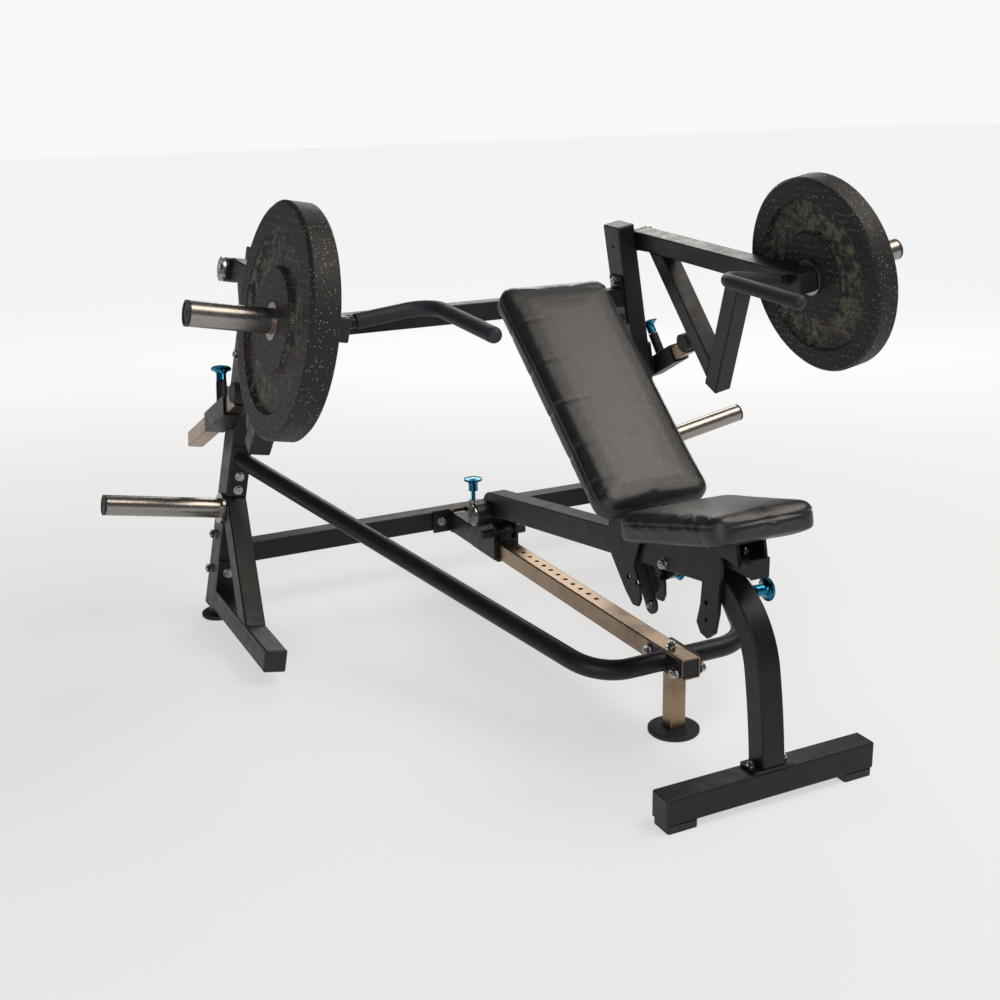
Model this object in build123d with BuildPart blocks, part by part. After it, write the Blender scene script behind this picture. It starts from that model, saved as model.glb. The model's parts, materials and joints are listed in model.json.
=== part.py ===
"""Plate-loaded bench press machine with a sliding, adjustable bench. Millimetres, +Z up."""
from build123d import *
from math import atan2, cos, degrees, radians, sin
import os

os.makedirs("parts", exist_ok=True)

# Stations (y) and heights are taken from a datum at the side frames; FLOOR lifts it onto its pads.
FLOOR = 30.0
STOP_REAR = (911.0, 400.0)
STOP_LEAN = 26.0
FOOT_FRONT = -686.0
WALL = 3.0
ROUND = 4.0
PLATE = 6.0
GAP = 1.0
FIT = 0.02

# Side frames: each leans inwards, and is drawn in its own plane (station y, height u, outward w).
LEAN = 10.47
SIDE_FOOT_X = 666.8
UPRIGHT_DEPTH = 78.0
UPRIGHT_WIDTH = 52.0
UPRIGHT_TOP = 914.5
UPRIGHT_FOOT_Y = 762.0
UPRIGHT_RAKE = 0.05
HALF_W = UPRIGHT_WIDTH / 2
TUBE = 50.0
BASE_FRONT = 276.0
BASE_TOP = 52.5
STRUT_TOP = (732.0, 290.0)
STRUT_FOOT = (475.0, 48.0)
UPPER_BAR = (724.0, 699.0)
LOWER_BAR = (753.0, 137.0)

# Guard tubes and slide rail
GUARD_R = 21.0
GUARD_TOP = (594.5, 704.0, 391.0)
GUARD_CORNER = (181.0, -348.0, 136.0)
GUARD_BEND = 105.0
RAIL = 44.5
RAIL_TOP = 156.0
RAIL_FRONT = -406.5
RAIL_REAR = 728.0
RAIL_LEG_Y = -348.0
HOLE_PITCH = 36.0
HOLE_COUNT = 19
PIN_Y = 620.0
CARRIAGE = (427.0, 697.0)

# Press arms
PIVOT = (717.0, 858.0)
PIVOT_R = 15.0
DRAIN_R = 5.0
HUB_R = 29.0
HUB_END = 87.0
ARM_W = 52.0
BEAM_FRONT = (-15.0, 822.0)
BEAM_REAR = (687.0, 865.0)
REAR_STRUT = ((600.7, 846.2), (412.7, 543.2))
FRONT_STRUT = ((260.0, 785.0), (414.0, 493.5))
HORN = (20.0, 823.0)
HORN_R = 25.0
HORN_TIP = 342.0
PLATE_INNER = {1: 88.0, -1: 118.0}
HORN_SHOULDER = (77.0, 87.0, 42.0)
HORN_ROOT = 191.6
PLATE_WIDTH = 58.0
PLATE_R = 230.0
STORE = (735.0, 263.0)
STORE_TIP = 319.0
GRIP_R = 16.0
HANDLE_R = 12.5
STOP_W = 62.0
STOP_TUBE = 40.0
STOP_ROLLER_R = 25.0
STOP_ROLLER = (537.5, 592.5)
STOP_ROLLER_HALF = 26.0
STOP_TUBE_END = 151.7
STOP_SLEEVE = (677.0, 514.2)
STOP_PIN_ALONG = -12.0

# Bench
HINGE = (479.0, 223.0)
HINGE_R = 10.0
SPINE_REAR_CENTRE = (351.0, 265.3)
SPINE_SLOPE = 7.71
SPINE_FRONT = -500.0
SPINE_HEIGHT = 60.0
BACK_PIVOT = (-245.0, 398.0)
SEAT_PIVOT = (-315.0, 397.0)
BACK_ANGLE = 40.54
BACK_BOTTOM = (-287.0, 456.0)
BACK_LENGTH = 592.0
BACK_WIDTHS = (256.0, 268.0)
PAD_THICK = 52.0
SEAT_ANGLE = 13.5
SEAT_FRONT = (-646.0, 481.0)
SEAT_LENGTH = 312.0
SEAT_WIDTHS = (216.0, 288.0)
EAR_X = 27.0

MID_Y = (STOP_REAR[0] + STOP_TUBE / 2 * sin(radians(STOP_LEAN)) + FOOT_FRONT) / 2


def world(x, y, z):
    """A datum point in the part's frame, whose origin is under the middle of the machine."""
    return Vector(x, y - MID_Y, z + FLOOR)


def middle(x=0.0):
    """The plane of a side view at x: local x is the station, local y the height."""
    return Plane(origin=world(x, 0, 0), x_dir=(0, 1, 0), z_dir=(1, 0, 0))


def side(w=0.0):
    """The right side frame's plane, w outwards from the middle of its tubes."""
    lean = radians(LEAN)
    centre = world(SIDE_FOOT_X + w * cos(lean), 0, w * sin(lean))
    return Plane(origin=centre, x_dir=(0, 1, 0), z_dir=(cos(lean), 0, sin(lean)))


def on(plane, point):
    return plane.from_local_coords(Vector(point[0], point[1], 0))


def section(plane, start, end):
    """A plane across the run from start to end, for the section of a tube."""
    a, b = on(plane, start), on(plane, end)
    return Plane(origin=a, x_dir=plane.z_dir, z_dir=(b - a))


def span(start, end):
    return ((end[0] - start[0]) ** 2 + (end[1] - start[1]) ** 2) ** 0.5


def box_tube(plane, start, end, width=TUBE, depth=TUBE, wall=WALL):
    """A hollow, round-cornered box tube from start to end, in the context it is called from."""
    with BuildSketch(section(plane, start, end)) as profile:
        RectangleRounded(width, depth, ROUND)
        Rectangle(width - 2 * wall, depth - 2 * wall, mode=Mode.SUBTRACT)
    extrude(profile.sketch, amount=span(start, end))


def disc(plane, centre, radius, thick, mode=Mode.ADD):
    with BuildSketch(plane) as profile:
        with Locations(centre):
            Circle(radius)
    extrude(profile.sketch, amount=thick, mode=mode)


def slab(plane, points, thick, corner=0.0, mode=Mode.ADD):
    with BuildSketch(plane) as outline:
        with BuildLine():
            Polyline(*points, close=True)
        make_face()
        if corner:
            fillet(outline.vertices(), corner)
    extrude(outline.sketch, amount=thick, mode=mode)


def hex_head(plane, centre, size=19.0, height=9.0):
    """A washer with a hexagon head or nut on it, and a stub of thread."""
    disc(plane, centre, size * 0.68, 2.0)
    with BuildSketch(plane.offset(2.0)) as profile:
        with Locations(centre):
            RegularPolygon(size / 2, 6, major_radius=False)
    extrude(profile.sketch, amount=height)
    disc(plane.offset(2.0 + height), centre, size * 0.24, 3.0)


def save(name, part):
    part.label = name
    export_step(part, "parts/" + name + ".step")


def save_pair(name, part):
    """Write the right-hand piece and its mirror image."""
    save("right_" + name, part)
    save("left_" + name, part.mirror(Plane.YZ))


def upright_y(u):
    return UPRIGHT_FOOT_Y - UPRIGHT_RAKE * u


def upright_front(u):
    return upright_y(u) - UPRIGHT_DEPTH / 2 * (1 + UPRIGHT_RAKE ** 2) ** 0.5 - FIT


def flipped(plane):
    """The same plane seen from the other side, with heights unchanged and stations negated."""
    return Plane(origin=plane.origin, x_dir=-plane.x_dir, z_dir=-plane.z_dir)


# ---------------------------------------------------------------- side frames
UPRIGHT_AXIS = ((upright_y(-20), -20), (upright_y(UPRIGHT_TOP - PLATE), UPRIGHT_TOP - PLATE))
FRONT_FACE = section(side(), (upright_front(0), 0), (upright_front(600), 600))

with BuildPart() as upright:
    box_tube(side(), *UPRIGHT_AXIS, width=UPRIGHT_WIDTH, depth=UPRIGHT_DEPTH)
    level = Plane.XY.offset(FLOOR)
    split(bisect_by=level, keep=Keep.TOP)
    foot = side().from_local_coords(Vector(upright_y(0), 0, 0))
    with BuildSketch(Plane.XY.offset(FLOOR)):
        with Locations((foot.X, foot.Y)):
            RectangleRounded(UPRIGHT_WIDTH, UPRIGHT_DEPTH, ROUND)
    extrude(amount=PLATE)
    disc(side(0), PIVOT, PIVOT_R, HALF_W + GAP, mode=Mode.SUBTRACT)
    disc(side(-HALF_W - GAP), PIVOT, DRAIN_R, HALF_W, mode=Mode.SUBTRACT)
save_pair("upright", upright.part)

with BuildPart() as base_tube:
    front = (BASE_FRONT + PLATE, BASE_TOP / 2)
    box_tube(side(), front, (upright_front(20) - PLATE, BASE_TOP / 2), UPRIGHT_WIDTH, BASE_TOP)
    slab(side(-HALF_W), [(upright_front(2), 2), (upright_front(130), 130),
                         (upright_front(130) - PLATE, 130), (upright_front(2) - PLATE, 2)],
         UPRIGHT_WIDTH)
save_pair("base_tube", base_tube.part)

with BuildPart() as front_leg:
    box_tube(side(), (STRUT_TOP[0] + 20, STRUT_TOP[1] + 20), (STRUT_FOOT[0] - 20, STRUT_FOOT[1] - 20))
    over_base = Plane(origin=on(side(), (0, BASE_TOP)), x_dir=(0, 1, 0), z_dir=side().y_dir)
    split(bisect_by=over_base, keep=Keep.TOP)
    ahead = Plane(origin=on(side(), (upright_front(0), 0)), x_dir=side().z_dir,
                  z_dir=on(side(), (-1, -UPRIGHT_RAKE)) - on(side(), (0, 0)))
    split(bisect_by=ahead, keep=Keep.TOP)
    slab(side(-HALF_W - GAP), [(upright_front(0) + 20, 0), (upright_front(0) + 20, 131),
                               (upright_front(131) - PLATE, 131), (upright_front(0) - PLATE, 0)],
         UPRIGHT_WIDTH + 2 * GAP, mode=Mode.SUBTRACT)
save_pair("front_leg", front_leg.part)


def crossbar(centre, depth, flange_low, flange_high):
    """A bar from upright to upright, with a bolted flange on each end."""
    with BuildPart() as bar:
        with BuildSketch(Plane(origin=world(-SIDE_FOOT_X, *centre), x_dir=(0, 1, 0), z_dir=(1, 0, 0))):
            RectangleRounded(TUBE, depth, ROUND)
            Rectangle(TUBE - 2 * WALL, depth - 2 * WALL, mode=Mode.SUBTRACT)
        extrude(amount=2 * SIDE_FOOT_X)
        split(bisect_by=side(-HALF_W - PLATE), keep=Keep.BOTTOM)
        slab(side(-HALF_W - PLATE), [(upright_y(flange_low) - FLANGE_HALF, flange_low),
                                     (upright_y(flange_low) + FLANGE_HALF, flange_low),
                                     (upright_y(flange_high) + FLANGE_HALF, flange_high),
                                     (upright_y(flange_high) - FLANGE_HALF, flange_high)], PLATE, 6)
        split(bisect_by=Plane.YZ, keep=Keep.TOP)
        mirror(about=Plane.YZ)
    return bar.part


FLANGE_HALF = 30.0
save("upper_crossbar", crossbar(UPPER_BAR, TUBE, 640, 778))
save("lower_crossbar", crossbar(LOWER_BAR, TUBE + 2, 68, 208))

with BuildPart() as guard_tube:
    with BuildLine() as route:
        FilletPolyline(world(*GUARD_TOP), world(*GUARD_CORNER),
                       world(RAIL / 2 + PLATE - 1, RAIL_LEG_Y, GUARD_CORNER[2]), radius=GUARD_BEND)
    with BuildSketch(Plane(origin=route.line @ 0, z_dir=route.line % 0)):
        Circle(GUARD_R)
        Circle(GUARD_R - WALL, mode=Mode.SUBTRACT)
    sweep()
    split(bisect_by=ahead.offset(PLATE - 1), keep=Keep.TOP)
    slab(side(-23), [(upright_front(303), 303), (upright_front(428), 428),
                     (upright_front(428) - PLATE, 428), (upright_front(303) - PLATE, 303)], 46)
    with BuildSketch(middle(RAIL / 2)):
        with Locations((RAIL_LEG_Y + 4, RAIL_TOP - 22)):
            RectangleRounded(118, 43, 10)
    extrude(amount=PLATE)
save_pair("guard_tube", guard_tube.part)

# ---------------------------------------------------------------- slide rail
with BuildPart() as slide_rail:
    box_tube(middle(), (RAIL_FRONT, RAIL_TOP - RAIL / 2), (RAIL_REAR, RAIL_TOP - RAIL / 2), RAIL, RAIL)
    with BuildSketch(Plane.XY.offset(FLOOR + RAIL_TOP - WALL - GAP)):
        for number in range(HOLE_COUNT):
            with Locations((0, PIN_Y - HOLE_PITCH * number - MID_Y)):
                Circle(6.0)
    extrude(amount=WALL + 2 * GAP, mode=Mode.SUBTRACT)
save("slide_rail", slide_rail.part)

BRACKET_FRONT = 700.0
BRACKET_HALF = 31.0
with BuildPart() as rail_brackets:
    with BuildSketch(middle(RAIL / 2)):
        with Locations(((BRACKET_FRONT + RAIL_REAR) / 2, LOWER_BAR[1])):
            Rectangle(RAIL_REAR - BRACKET_FRONT, 2 * BRACKET_HALF)
    extrude(amount=PLATE)
    with BuildSketch(middle(RAIL / 2)):
        with Locations((RAIL_REAR - 4, LOWER_BAR[1])):
            Rectangle(8, 2 * BRACKET_HALF)
    extrude(amount=52)
    mirror(about=Plane.YZ)
save("rail_brackets", rail_brackets.part)

LEG_SIDE = 35.4
LEG_FOOT = -16.0
with BuildPart() as rail_leg:
    with BuildSketch(Plane.XY.offset(LEG_FOOT + FLOOR)):
        with Locations((0, RAIL_LEG_Y - MID_Y)):
            RectangleRounded(LEG_SIDE, LEG_SIDE, 3)
            Rectangle(LEG_SIDE - 5, LEG_SIDE - 5, mode=Mode.SUBTRACT)
    extrude(amount=RAIL_TOP - RAIL - LEG_FOOT)
save("rail_leg", rail_leg.part)

PAD_R = 54.0
REAR_PAD_R = 45.0
LEG_PAD_TOP = FLOOR + LEG_FOOT


def floor_pad(x, y, rim, neck, crown):
    """A round foot: a wide rim on the floor, a slope up to the neck and a flat crown."""
    with BuildSketch(Plane(origin=(x, y, 0), x_dir=(1, 0, 0), z_dir=(0, -1, 0))) as profile:
        with BuildLine():
            Polyline((0, 0), (rim - 3, 0), (rim, 3), (rim, 10), *neck, (0, crown), close=True)
        make_face()
    revolve(profile.sketch, axis=Axis((x, y, 0), (0, 0, 1)))


with BuildPart() as floor_pads:
    floor_pad(0, RAIL_LEG_Y - MID_Y, PAD_R, [(PAD_R - 4, LEG_PAD_TOP - 2), (30, LEG_PAD_TOP)], LEG_PAD_TOP)
    for x in (foot.X, -foot.X):
        floor_pad(x, foot.Y, REAR_PAD_R, [(REAR_PAD_R - 4, 13), (26, 16), (22, FLOOR)], FLOOR)
save("floor_pads", floor_pads.part)

# ---------------------------------------------------------------- weight horns
with BuildPart() as storage_horns:
    disc(side(HALF_W), STORE, 39, 8)
    disc(side(HALF_W + 8), STORE, HORN_R, STORE_TIP - PLATE - HALF_W - 8)
    disc(side(HALF_W + 8), STORE, HORN_R - 4, STORE_TIP, mode=Mode.SUBTRACT)
    mirror(about=Plane.YZ)
save("storage_horns", storage_horns.part)

with BuildPart() as loading_horn:
    disc(side(ARM_W + TUBE / 2), HORN, HORN_SHOULDER[2], HORN_SHOULDER[1] - ARM_W - TUBE / 2)
    disc(side(HORN_SHOULDER[1]), HORN, HORN_R - 0.3, HORN_ROOT - HORN_SHOULDER[1])
    disc(side(HORN_ROOT), HORN, HORN_R, HORN_TIP - HORN_ROOT - PLATE)
    disc(side(ARM_W + TUBE / 2 + WALL), HORN, HORN_R - 4, HORN_TIP, mode=Mode.SUBTRACT)
save_pair("loading_horn", loading_horn.part)


def plug(plane, centre, radius):
    """A round moulded plug with a rim round a shallow dish."""
    disc(plane, centre, radius, PLATE)
    disc(plane.offset(PLATE - 2), centre, radius - 5, 3, mode=Mode.SUBTRACT)
    disc(plane.offset(PLATE - 2), centre, radius / 4, 1.5)


def square_cap(plane, start, end, width, depth):
    """A moulded cap on the end of a box tube, with a chamfered rim."""
    across = section(plane, start, end)
    with BuildSketch(across) as profile:
        RectangleRounded(width, depth, ROUND)
    extrude(profile.sketch, amount=PLATE - 3)
    extrude(offset(profile.sketch, -0.01, mode=Mode.PRIVATE).moved(Location(across.z_dir * (PLATE - 3))),
            amount=3, taper=40)


with BuildPart() as frame_caps:
    square_cap(side(), UPRIGHT_AXIS[1], (UPRIGHT_AXIS[1][0] - UPRIGHT_RAKE, UPRIGHT_AXIS[1][1] + 1),
               UPRIGHT_WIDTH, UPRIGHT_DEPTH)
    square_cap(side(), (BASE_FRONT + PLATE, BASE_TOP / 2), (BASE_FRONT, BASE_TOP / 2),
               UPRIGHT_WIDTH, BASE_TOP)
    plug(side(STORE_TIP - PLATE), STORE, HORN_R)
    mirror(about=Plane.YZ)
    with BuildSketch(Plane(origin=world(0, RAIL_FRONT + 2, RAIL_TOP - RAIL / 2), x_dir=(1, 0, 0),
                           z_dir=(0, 1, 0))):
        Rectangle(RAIL - 2 * WALL, RAIL - 2 * WALL)
    extrude(amount=14)
save("frame_caps", frame_caps.part)

# ---------------------------------------------------------------- stops
STOP_DIR = (-cos(radians(STOP_LEAN)), sin(radians(STOP_LEAN)))


def along_stop(centre, distance):
    return (centre[0] + STOP_DIR[0] * distance, centre[1] + STOP_DIR[1] * distance)


SLEEVE_HALF = 82.5
PIN_BORE_R = 6.3
STOP_PIN_AT = on(side(STOP_W), along_stop(STOP_SLEEVE, STOP_PIN_ALONG))
STOP_PIN_PLANE = Plane(origin=STOP_PIN_AT, x_dir=side().z_dir,
                       z_dir=on(side(), (STOP_DIR[1], -STOP_DIR[0])) - on(side(), (0, 0)))
with BuildPart() as stop_sleeve:
    box_tube(side(STOP_W), along_stop(STOP_SLEEVE, -SLEEVE_HALF), along_stop(STOP_SLEEVE, SLEEVE_HALF),
             wall=4.5)
    slab(side(HALF_W), [(upright_y(470) - 32, 470), (upright_y(470) + 32, 470),
                        (upright_y(570) + 32, 570), (upright_y(570) - 32, 570)],
         STOP_W - TUBE / 2 - HALF_W, 6)
    with BuildSketch(STOP_PIN_PLANE):
        Circle(13)
    extrude(amount=84)
    core_from = along_stop(STOP_SLEEVE, -SLEEVE_HALF - 1)
    core_to = along_stop(STOP_SLEEVE, SLEEVE_HALF + 1)
    with BuildSketch(section(side(STOP_W), core_from, core_to)):
        Rectangle(TUBE - 9, TUBE - 9)
    extrude(amount=span(core_from, core_to), mode=Mode.SUBTRACT)
    with BuildSketch(STOP_PIN_PLANE):
        Circle(PIN_BORE_R)
    extrude(amount=85, mode=Mode.SUBTRACT)
save_pair("stop_sleeve", stop_sleeve.part)

with BuildPart() as stop_tube:
    box_tube(side(STOP_W), STOP_REAR, along_stop(STOP_SLEEVE, STOP_TUBE_END), STOP_TUBE, STOP_TUBE, wall=2.5)
    disc(side(STOP_W - STOP_ROLLER_HALF - GAP), STOP_ROLLER, STOP_ROLLER_R + 0.05,
         2 * STOP_ROLLER_HALF + 2 * GAP, mode=Mode.SUBTRACT)
save_pair("stop_tube", stop_tube.part)

with BuildPart() as stop_bumper:
    disc(side(STOP_W - STOP_ROLLER_HALF), STOP_ROLLER, STOP_ROLLER_R, 2 * STOP_ROLLER_HALF)
save_pair("stop_bumper", stop_bumper.part)


def pop_knob(plane, tip, stem_r=5.5, disc_r=25.0, reach=60.0):
    """A pull knob on its plunger: tip is where the plunger ends, reach the free stem above it."""
    upright_plane = Plane(origin=plane.origin, x_dir=plane.x_dir, z_dir=plane.x_dir.cross(plane.z_dir))
    with BuildSketch(upright_plane) as profile:
        with BuildLine():
            Polyline((0, tip), (stem_r, tip), (stem_r, reach), (12.5, reach + 1), (12, reach + 16))
            Spline((12, reach + 16), (15, reach + 24), (disc_r - 1, reach + 29),
                   tangents=((0, 1), (1, 0.15)))
            Polyline((disc_r - 1, reach + 29), (disc_r, reach + 31), (disc_r - 1.5, reach + 34),
                     (12, reach + 37), (0, reach + 38), (0, tip))
        make_face()
    revolve(profile.sketch, axis=Axis(plane.origin, plane.z_dir))


with BuildPart() as stop_pin:
    pop_knob(STOP_PIN_PLANE, TUBE / 2 - 4.5 - 0.1, reach=86.0)
save_pair("stop_pin", stop_pin.part)

with BuildPart() as arm_pivot_pins:
    disc(side(WALL - HALF_W), PIVOT, PIVOT_R, HUB_END + HALF_W - WALL + 0.4)
    disc(side(HUB_END + 0.4), PIVOT, HUB_R, PLATE + 0.6)
    with BuildSketch(side(HUB_END + PLATE + GAP)):
        with Locations(PIVOT):
            RegularPolygon(11, 6, major_radius=False)
    extrude(amount=5)
    mirror(about=Plane.YZ)
save("arm_pivot_pins", arm_pivot_pins.part)

# ---------------------------------------------------------------- press arms
BEAM_SLOPE = atan2(BEAM_REAR[1] - BEAM_FRONT[1], BEAM_REAR[0] - BEAM_FRONT[0])
with BuildPart() as arm_beam:
    beam_start = (BEAM_FRONT[0] + PLATE * cos(BEAM_SLOPE), BEAM_FRONT[1] + PLATE * sin(BEAM_SLOPE))
    box_tube(side(ARM_W), beam_start, BEAM_REAR)
    disc(side(HALF_W + 0.8), PIVOT, HUB_R, HUB_END - HALF_W - 0.8)
    slab(side(ARM_W - TUBE / 2), [(640, 838), (700, 838), (700, 887), (640, 884)], TUBE)
    disc(side(HALF_W), PIVOT, PIVOT_R + 0.05, HUB_END, mode=Mode.SUBTRACT)
save_pair("arm_beam", arm_beam.part)


def under_beam(y):
    rise = (BEAM_REAR[1] - BEAM_FRONT[1]) / (BEAM_REAR[0] - BEAM_FRONT[0])
    return BEAM_FRONT[1] + (y - BEAM_FRONT[0]) * rise - TUBE / 2 / cos(BEAM_SLOPE) - FIT


beam_under = Plane(origin=on(side(), (0, under_beam(0))), x_dir=(1, 0, 0),
                   z_dir=on(side(), (sin(BEAM_SLOPE), -cos(BEAM_SLOPE))) - on(side(), (0, 0)))
front_dir = (FRONT_STRUT[1][0] - FRONT_STRUT[0][0], FRONT_STRUT[1][1] - FRONT_STRUT[0][1])
front_len = span(*FRONT_STRUT)
rear_normal = (-front_dir[1] / front_len, front_dir[0] / front_len)
behind_front = Plane(
    origin=on(side(), (FRONT_STRUT[1][0] + rear_normal[0] * TUBE / 2,
                       FRONT_STRUT[1][1] + rear_normal[1] * TUBE / 2)),
    x_dir=side().z_dir, z_dir=on(side(), rear_normal) - on(side(), (0, 0)))

with BuildPart() as arm_front_strut:
    top = (FRONT_STRUT[0][0] - front_dir[0] * 0.2, FRONT_STRUT[0][1] - front_dir[1] * 0.2)
    box_tube(side(ARM_W), top, FRONT_STRUT[1])
    split(bisect_by=beam_under, keep=Keep.TOP)
save_pair("arm_front_strut", arm_front_strut.part)

with BuildPart() as arm_rear_strut:
    rear_dir = (REAR_STRUT[1][0] - REAR_STRUT[0][0], REAR_STRUT[1][1] - REAR_STRUT[0][1])
    top = (REAR_STRUT[0][0] - rear_dir[0] * 0.1, REAR_STRUT[0][1] - rear_dir[1] * 0.1)
    bottom = (REAR_STRUT[1][0] + rear_dir[0] * 0.2, REAR_STRUT[1][1] + rear_dir[1] * 0.2)
    box_tube(side(ARM_W), top, bottom)
    split(bisect_by=beam_under, keep=Keep.TOP)
    split(bisect_by=behind_front, keep=Keep.TOP)
save_pair("arm_rear_strut", arm_rear_strut.part)

with BuildPart() as arm_caps:
    square_cap(side(ARM_W), beam_start, BEAM_FRONT, TUBE, TUBE)
    ahead_of = (FRONT_STRUT[1][0] + front_dir[0], FRONT_STRUT[1][1] + front_dir[1])
    square_cap(side(ARM_W), FRONT_STRUT[1], ahead_of, TUBE, TUBE)
    plug(side(HORN_TIP - PLATE), HORN, HORN_R)
save_pair("arm_caps", arm_caps.part)

HANDLE_ROOT = (543.6, 31.5, 819.6)
HANDLE_BEND = (350.0, 34.0, 841.0)
HANDLE_END = (351.0, -255.5, 823.0)
GRIP_START = 516.0
root = world(*HANDLE_ROOT)
bend = world(*HANDLE_BEND)
free = world(*HANDLE_END)
grip_root = root + (bend - root) * ((HANDLE_ROOT[0] - GRIP_START) / (HANDLE_ROOT[0] - HANDLE_BEND[0]))
with BuildPart() as arm_handle:
    with BuildLine() as route:
        FilletPolyline(root, bend, free, radius=58)
    with BuildSketch(Plane(origin=route.line @ 0, z_dir=route.line % 0)):
        Circle(HANDLE_R)
        Circle(HANDLE_R - WALL, mode=Mode.SUBTRACT)
    sweep()
    split(bisect_by=side(ARM_W - TUBE / 2), keep=Keep.BOTTOM)
save_pair("arm_handle", arm_handle.part)

with BuildPart() as handle_grip:
    with BuildLine() as route:
        FilletPolyline(grip_root, bend, free, radius=58)
    with BuildSketch(Plane(origin=route.line @ 0, z_dir=route.line % 0)):
        Circle(GRIP_R)
    sweep()
    with Locations(free):
        Sphere(GRIP_R)
    with BuildSketch(Plane(origin=route.line @ 0, z_dir=route.line % 0)):
        Circle(HANDLE_R)
    sweep(path=route.line, mode=Mode.SUBTRACT)
save_pair("handle_grip", handle_grip.part)

# ---------------------------------------------------------------- weight plates
HUB_DISC_R = 102.0
RECESS_R = 180.0
RECESS = 10.0
RING_R = 37.0
RIM_CHAMFER = 6.0


def weight_plate(inner):
    """A bumper plate on the right horn, its inner face at inner, recessed on both sides."""
    across = side(inner + PLATE_WIDTH / 2)
    centre = on(across, HORN)
    half = PLATE_WIDTH / 2
    with BuildPart() as plate:
        with BuildSketch(Plane(origin=centre, x_dir=across.y_dir, z_dir=-across.x_dir)) as turned:
            with BuildLine():
                Polyline((RING_R, -half), (HUB_DISC_R, -half), (HUB_DISC_R + 5, RECESS - half),
                         (RECESS_R - 5, RECESS - half), (RECESS_R, -half), (PLATE_R, -half), (PLATE_R, half),
                         (RECESS_R, half), (RECESS_R - 5, half - RECESS), (HUB_DISC_R + 5, half - RECESS),
                         (HUB_DISC_R, half), (RING_R, half), close=True)
            make_face()
            chamfer(turned.vertices().group_by(SortBy.DISTANCE)[-1], RIM_CHAMFER)
        revolve(axis=Axis(centre, across.z_dir))
    return plate.part


def plate_ring(inner):
    """The steel bush in the middle of a weight plate."""
    with BuildPart() as ring:
        disc(side(inner), HORN, RING_R, PLATE_WIDTH + 0.6)
        disc(side(inner - 1), HORN, HORN_R + 0.4, PLATE_WIDTH + 3, mode=Mode.SUBTRACT)
    return ring.part


# The two plates sit at different places along their horns.
save("right_weight_plate", weight_plate(PLATE_INNER[1]))
save("left_weight_plate", weight_plate(PLATE_INNER[-1]).mirror(Plane.YZ))
save("right_plate_ring", plate_ring(PLATE_INNER[1]))
save("left_plate_ring", plate_ring(PLATE_INNER[-1]).mirror(Plane.YZ))

# ---------------------------------------------------------------- carriage
RAIL_MID = RAIL_TOP - RAIL / 2
SLEEVE_OUT = 28.0
SLEEVE_IN = RAIL / 2 + 0.5
BOSS_R = 31.0
BOSS_END = 64.0
HINGE_WASHER_R = 27.0
REST_BAR = (446.0, 178.0)
with BuildPart() as carriage:
    with BuildSketch(Plane(origin=world(0, CARRIAGE[0], RAIL_MID), x_dir=(1, 0, 0), z_dir=(0, -1, 0))):
        RectangleRounded(2 * SLEEVE_OUT, 2 * SLEEVE_OUT, ROUND)
    extrude(amount=CARRIAGE[0] - CARRIAGE[1])
    for x in (SLEEVE_OUT - 0.5, -SLEEVE_OUT - 6.5):
        slab(middle(x), [(CARRIAGE[0], 112), (560, 112), (560, 160), (508, 223), (450, 223),
                         (CARRIAGE[0], 200)], 7)
    for x in (26.6, -BOSS_END):
        disc(middle(x), HINGE, BOSS_R, BOSS_END - 26.6)
    disc(middle(-BOSS_END - GAP), HINGE, HINGE_R, 2 * BOSS_END + 2 * GAP, mode=Mode.SUBTRACT)
    slab(middle(-17), [(429, 160), (463, 160), (463, REST_BAR[1]), (429, REST_BAR[1])], 32)
    disc(middle(-62), REST_BAR, 11, 124, mode=Mode.SUBTRACT)
    with BuildSketch(Plane(origin=world(0, CARRIAGE[0] - GAP, RAIL_MID), x_dir=(1, 0, 0), z_dir=(0, -1, 0))):
        Rectangle(2 * SLEEVE_IN, 2 * SLEEVE_IN)
    extrude(amount=CARRIAGE[0] - CARRIAGE[1] - 2 * GAP, mode=Mode.SUBTRACT)
    with BuildSketch(Plane(origin=world(0, PIN_Y, RAIL_TOP - GAP), z_dir=(0, 0, 1))):
        Circle(6.0)
    extrude(amount=10, mode=Mode.SUBTRACT)
save("carriage", carriage.part)

with BuildPart() as carriage_fittings:
    disc(middle(-BOSS_END), HINGE, HINGE_R, 2 * BOSS_END)
    disc(middle(BOSS_END), HINGE, HINGE_WASHER_R, 5)
    disc(middle(-BOSS_END - 5), HINGE, HINGE_WASHER_R, 5)
    for plane in (middle(BOSS_END + 5), middle(-BOSS_END - 10)):
        with BuildSketch(plane):
            with Locations(HINGE):
                RegularPolygon(9, 6, major_radius=False)
        extrude(amount=5)
    with BuildSketch(Plane(origin=world(0, PIN_Y, RAIL_MID + SLEEVE_OUT), z_dir=(0, 0, 1))):
        Circle(13)
        Circle(PIN_BORE_R, mode=Mode.SUBTRACT)
    extrude(amount=30)
    with BuildSketch(Plane(origin=world(0, PIN_Y, RAIL_MID + SLEEVE_OUT + 30), z_dir=(0, 0, 1))):
        Circle(12.5)
        Circle(PIN_BORE_R, mode=Mode.SUBTRACT)
    extrude(amount=26)
save("carriage_fittings", carriage_fittings.part)

with BuildPart() as rest_bar:
    disc(middle(-60), REST_BAR, 11, 120)
save("rest_bar", rest_bar.part)

with BuildPart() as slide_pin:
    pop_knob(Plane(origin=world(0, PIN_Y, RAIL_TOP), x_dir=(1, 0, 0), z_dir=(0, 0, 1)), 1.5, reach=86.0)
save("slide_pin", slide_pin.part)

# ---------------------------------------------------------------- bench frame


def spine_z(y):
    """Height of the spine's centre line at station y."""
    return SPINE_REAR_CENTRE[1] + (SPINE_REAR_CENTRE[0] - y) * (0.1354)


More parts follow.
